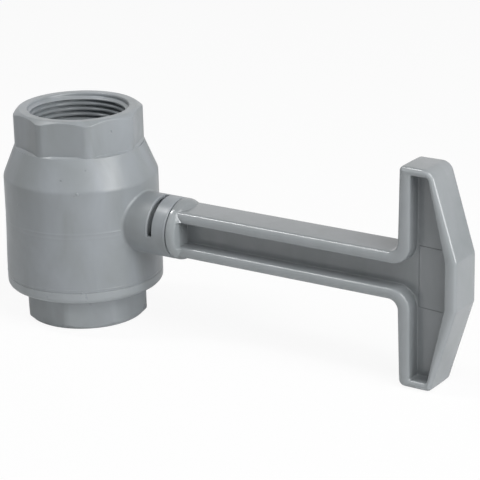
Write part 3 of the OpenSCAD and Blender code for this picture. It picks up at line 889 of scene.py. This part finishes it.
# %% Moulded plastic
def moulded_plastic(name, light, dark, roughness, cloud_mm, grain_mm, grain_depth_mm, rims=()):
    """Satin moulded plastic: clouds in the colour, a wandering sheen and a fine grain.

    The clouds are `cloud_mm` wide, twice as long along the flow axis, and run from the dark to the
    light colour. The grain of a real mould is finer than a pixel, so it is drawn as wide as
    `grain_mm`, a micrometre deep at most, where it still breaks up a highlight.

    Each of the `rims`, (from_mm, to_mm, shade), multiplies the colour by a smooth step from 1 to its
    shade between two distances from the handle's middle plane. It is painted light: it lightens the
    rims' front faces, which catch more light than the shaded hollow behind them.
    """
    material, tree, output, place = new_material(name)
    stretched = add(tree, "ShaderNodeMapping", [("Vector", place), ("Scale", (1, 1, 0.45))])
    clouds = add(tree, "ShaderNodeTexNoise", [
        ("Vector", stretched.outputs[0]), ("Scale", 1 / (cloud_mm * MM)), ("Detail", 3.0),
        ("Roughness", 0.55), ("Distortion", 0.6)])
    tone = add(tree, "ShaderNodeValToRGB", [("Fac", clouds.outputs[0])])
    tone.color_ramp.elements[0].position = 0.32
    tone.color_ramp.elements[1].position = 0.68
    tone.color_ramp.elements[0].color = linear(dark)
    tone.color_ramp.elements[1].color = linear(light)
    smear = add(tree, "ShaderNodeTexNoise", [
        ("Vector", place), ("Scale", 1 / (0.4 * cloud_mm * MM)), ("Detail", 4.0)])
    sheen = add(tree, "ShaderNodeMapRange", [
        ("Value", smear.outputs[0]), ("From Min", 0.3), ("From Max", 0.7),
        ("To Min", roughness - 0.05), ("To Max", roughness + 0.06)])
    grain = add(tree, "ShaderNodeTexNoise", [
        ("Vector", place), ("Scale", 1 / (grain_mm * MM)), ("Detail", 2.0)])
    relief = add(tree, "ShaderNodeBump", [
        ("Height", grain.outputs[0]), ("Distance", grain_depth_mm * MM), ("Strength", 1.0)])
    colour = tone.outputs[0]
    # painted light: each band lifts the colour where the rims' front faces catch more light
    for from_mm, to_mm, shade in rims:
        split = add(tree, "ShaderNodeSeparateXYZ", [("Vector", place)])
        away = add(tree, "ShaderNodeMath", [(0, split.outputs["Y"])], operation="ABSOLUTE")
        painted_rim_lift = add(tree, "ShaderNodeMapRange", [
            ("Value", away.outputs[0]), ("From Min", from_mm * MM), ("From Max", to_mm * MM),
            ("To Min", 1.0), ("To Max", shade)], interpolation_type="SMOOTHSTEP")
        tinted = add(tree, "ShaderNodeVectorMath", [(0, colour), ("Scale", painted_rim_lift.outputs[0])],
                     operation="SCALE")
        colour = tinted.outputs[0]
    shader = add(tree, "ShaderNodeBsdfPrincipled", [
        ("Base Color", colour), ("Roughness", sheen.outputs[0]),
        ("Normal", relief.outputs[0]), ("IOR", 1.53)])
    tree.links.new(shader.outputs[0], output.inputs["Surface"])
    return material


casing_plastic = moulded_plastic("moulded grey PVC, satin",
                                 "#90959a", "#858a8c", 0.34, 14, 0.5, 0.0008)
# painted light: the end piece's colour is a touch lighter than the casing's, for the light from below on its low
# faces
end_plastic = moulded_plastic("moulded grey PVC, end piece",
                              "#979ca0", "#8d9294", 0.32, 14, 0.5, 0.0008)
# painted light: the rims' front faces, 7.2 to 8.3 mm from the middle plane, are painted 1.24 times lighter
handle_plastic = moulded_plastic("moulded grey PVC, semi-gloss",
                                 "#8a8e91", "#84898b", 0.16, 10, 0.5, 0.0006, rims=[(7.2, 8.3, 1.24)])
ball_plastic = moulded_plastic("moulded grey PVC, polished",
                               "#858a8d", "#808588", 0.22, 12, 0.8, 0.001)
for plastic in (casing_plastic, end_plastic, handle_plastic, ball_plastic):
    print(f"{plastic.name}: {len(plastic.node_tree.nodes)} nodes")

# %% [markdown]
# The seats are pressed from a waxy white fluoropolymer, which is soft, a little translucent and
# never quite glossy. The seal rings are black nitrile rubber with the faint mottle of talc.

# %% Seats and seals
def waxy_seat():
    """Off-white that wanders over 3 mm, with light that goes 1 mm deep into the wax."""
    material, tree, output, place = new_material("pressed PTFE, waxy")
    mottle = add(tree, "ShaderNodeTexNoise", [
        ("Vector", place), ("Scale", 1 / (3 * MM)), ("Detail", 3.0)])
    tone = add(tree, "ShaderNodeValToRGB", [("Fac", mottle.outputs[0])])
    tone.color_ramp.elements[0].color = linear("#dcdad0")
    tone.color_ramp.elements[1].color = linear("#eeece4")
    shader = add(tree, "ShaderNodeBsdfPrincipled", [
        ("Base Color", tone.outputs[0]), ("Roughness", 0.45), ("IOR", 1.35),
        ("Subsurface Weight", 0.15), ("Subsurface Radius", (MM, MM, MM))])
    tree.links.new(shader.outputs[0], output.inputs["Surface"])
    return material


def seal_rubber():
    """Near black, paler where talc of 0.8 mm grains lies."""
    material, tree, output, place = new_material("nitrile rubber, talced")
    dust = add(tree, "ShaderNodeTexNoise", [
        ("Vector", place), ("Scale", 1 / (0.8 * MM)), ("Detail", 5.0)])
    tone = add(tree, "ShaderNodeValToRGB", [("Fac", dust.outputs[0])])
    tone.color_ramp.elements[0].position = 0.4
    tone.color_ramp.elements[0].color = linear("#1d1e20")
    tone.color_ramp.elements[1].color = linear("#3a3c3e")
    shader = add(tree, "ShaderNodeBsdfPrincipled", [
        ("Base Color", tone.outputs[0]), ("Roughness", 0.62), ("IOR", 1.52)])
    tree.links.new(shader.outputs[0], output.inputs["Surface"])
    return material


seat_material = waxy_seat()
rubber_material = seal_rubber()
print(f"finishes: {seat_material.name}; {rubber_material.name}")

# %% [markdown]
# Each skin now gets its finish, the body that it moves with and the plain piece that it stands in
# for. The pieces inside are seen only through the sockets, so they keep their own solids.

# %% Give every piece its finish and its body
def dress(piece, body, material, replaced=()):
    """Sets the piece's material and body, and hides the plain pieces that it replaces."""
    piece.data.materials.clear()
    piece.data.materials.append(material)
    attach(piece, body)
    if replaced:
        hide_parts(*replaced)


dress(casing_shell, "casing", casing_plastic, ["body"])
dress(casing_neck, "casing", casing_plastic, ["body"])
dress(casing_marks, "casing", casing_plastic)
dress(end_piece_shell, "casing", end_plastic, ["end_connector"])
dress(handle_grip, "handle", handle_plastic, ["t_handle"])
dress(handle_marks, "handle", handle_plastic)
dress(handle_hub, "handle", handle_plastic, ["t_handle"])
dress(handle_lug, "handle", handle_plastic, ["t_handle"])

node_finish = {
    "ball": ball_plastic,
    "spindle": ball_plastic,
    "upper_seat": seat_material,
    "lower_seat": seat_material,
    "slip_washer": seat_material,
    "upper_seat_cushion": rubber_material,
    "lower_seat_cushion": rubber_material,
    "body_o_ring": rubber_material,
    "inner_spindle_o_ring": rubber_material,
    "outer_spindle_o_ring": rubber_material,
}
for node, finish in node_finish.items():
    for slot in frame["nodes"][node].material_slots:
        slot.material = finish
print(f"{len(node_finish)} inner pieces keep their own solids and get a finish")

# %% [markdown]
# ## Studio
# The floor is paper, nearly white, so it throws soft light back under the valve. To the camera it
# glows white by itself for the most part, and the rest keeps a pale shadow. The world is white for
# the camera and for reflections and gives no light of its own, which leaves the light to the lamps.

# %% Floor
def studio_floor():
    """A sheet of 8 m on a side, a fifth of a millimetre below the valve, so that they never touch."""
    half = 4000
    drop = 0.2
    glow_share = 0.92
    points = np.array([[-half, -half, -drop], [half, -half, -drop], [half, half, -drop],
                       [-half, half, -drop]])
    mesh = bpy.data.meshes.new("studio_floor")
    mesh.from_pydata((points * MM).tolist(), [], [(0, 1, 2, 3)])
    floor = bpy.data.objects.new("studio_floor", mesh)
    bpy.context.scene.collection.objects.link(floor)
    material, tree, output, place = new_material("studio paper")
    paper = add(tree, "ShaderNodeBsdfDiffuse", [("Color", linear("#f4f4f4"))])
    glow = add(tree, "ShaderNodeEmission", [("Color", (1, 1, 1, 1)), ("Strength", 1.0)])
    path = add(tree, "ShaderNodeLightPath")
    share = add(tree, "ShaderNodeMath", [(0, path.outputs["Is Camera Ray"]), (1, glow_share)],
                operation="MULTIPLY")
    mix = add(tree, "ShaderNodeMixShader", [(0, share.outputs[0]), (1, paper.outputs[0]),
                                            (2, glow.outputs[0])])
    tree.links.new(mix.outputs[0], output.inputs["Surface"])
    floor.data.materials.append(material)
    print(f"floor: {2 * half * MM:.0f} m square")


studio_floor()


# %% World
def studio_world():
    """Strength is 1 for camera, glossy and transmission rays, and 0 for diffuse ones."""
    world = bpy.data.worlds.new("studio")
    world.use_nodes = True
    tree = world.node_tree
    tree.nodes.clear()
    path = add(tree, "ShaderNodeLightPath")
    seen = add(tree, "ShaderNodeMath", [(0, path.outputs["Is Camera Ray"]),
                                        (1, path.outputs["Is Glossy Ray"])], operation="MAXIMUM")
    seen_or_through = add(tree, "ShaderNodeMath", [(0, seen.outputs[0]),
                                                   (1, path.outputs["Is Transmission Ray"])],
                          operation="MAXIMUM")
    sky = add(tree, "ShaderNodeBackground", [("Color", (1, 1, 1, 1)),
                                             ("Strength", seen_or_through.outputs[0])])
    output = add(tree, "ShaderNodeOutputWorld")
    tree.links.new(sky.outputs[0], output.inputs["Surface"])
    bpy.context.scene.world = world
    print(f"world: {world.name}")


studio_world()

# %% [markdown]
# Four soft lamps stand round the valve. The main one is high on the right, beyond the handle's bar,
# and a second one on the same side is low, so that it reaches the sides that the first one grazes.
# A weak one in front, a little to the left, opens the shadows. A narrow one high on the left draws
# the bright line along the upper edges. The bigger a lamp, the softer its shadow and its highlight.

# %% Lamps
def soft_lamp(name, azimuth, height, distance, size, power):
    """An area lamp on a sphere round the valve, turned to face it.

    With the azimuth a and the height e in degrees, it lies outwards along (sin a cos e,
    -cos a cos e, sin e). Its distance and its size, (width, height), are in metres and its power is
    in watts.
    """
    target = Vector((60, 0, axis_z)) * MM
    a = math.radians(azimuth)
    e = math.radians(height)
    outward = Vector((math.sin(a) * math.cos(e), -math.cos(a) * math.cos(e), math.sin(e)))
    lamp = bpy.data.lights.new(name, "AREA")
    lamp.shape = "RECTANGLE"
    lamp.size, lamp.size_y = size
    lamp.energy = power
    holder = bpy.data.objects.new(name, lamp)
    aim = outward.to_track_quat("Z", "Y").to_matrix().to_4x4()
    holder.matrix_world = Matrix.Translation(target + outward * distance) @ aim
    bpy.context.scene.collection.objects.link(holder)
    print(f"{name}: {power} W, {size[0]} by {size[1]} m")


soft_lamp("main lamp", 67, 50, 1.3, (0.8, 0.8), 10.5)
soft_lamp("low lamp", 86, 16, 1.3, (0.6, 0.6), 9.8)
soft_lamp("edge lamp", -66, 57, 1.3, (0.15, 0.4), 5.2)
soft_lamp("left lamp", -20, 48, 1.3, (0.8, 0.8), 1.7)

# %% [markdown]
# ## Camera
# The photograph looks down on the valve from the side of the T-bar, with a long lens from a little
# under a metre, and its horizon leans by about one degree.

# %% Camera at the photograph's viewing angle
def set_camera():
    """Looks at a point right of the flow axis and below the handle's, from the given angles.

    The camera's axes are worked out from the azimuth and the height, then turned by the lean. The
    lens goes with a sensor that is 36 mm wide.
    """
    azimuth = math.radians(33.468)
    height = math.radians(19.029)
    lean = math.radians(-1.329)
    distance = 889.3 * MM
    aim_right = 65.72
    aim_down = 15.34
    right = Vector((math.cos(azimuth), math.sin(azimuth), 0))
    level = Vector((math.sin(azimuth), -math.cos(azimuth), 0))
    back = level * math.cos(height) + Vector((0, 0, math.sin(height)))
    up = back.cross(right)
    right_axis = right * math.cos(lean) + up * math.sin(lean)
    up_axis = up * math.cos(lean) - right * math.sin(lean)
    target = right * aim_right * MM + Vector((0, 0, axis_z - aim_down)) * MM
    place = target + back * distance
    axes = Matrix((right_axis, up_axis, back)).transposed().to_4x4()
    data = bpy.data.cameras.new("camera")
    data.sensor_fit = "HORIZONTAL"
    data.sensor_width = 36
    data.lens = 157.73
    camera = bpy.data.objects.new("camera", data)
    camera.matrix_world = Matrix.Translation(place) @ axes
    bpy.context.scene.collection.objects.link(camera)
    bpy.context.scene.camera = camera
    bpy.context.scene.view_settings.view_transform = "Standard"
    print(f"camera {distance:.3f} m away with a lens of {data.lens} mm")


set_camera()

# %% Update the scene
bpy.context.view_layer.update()
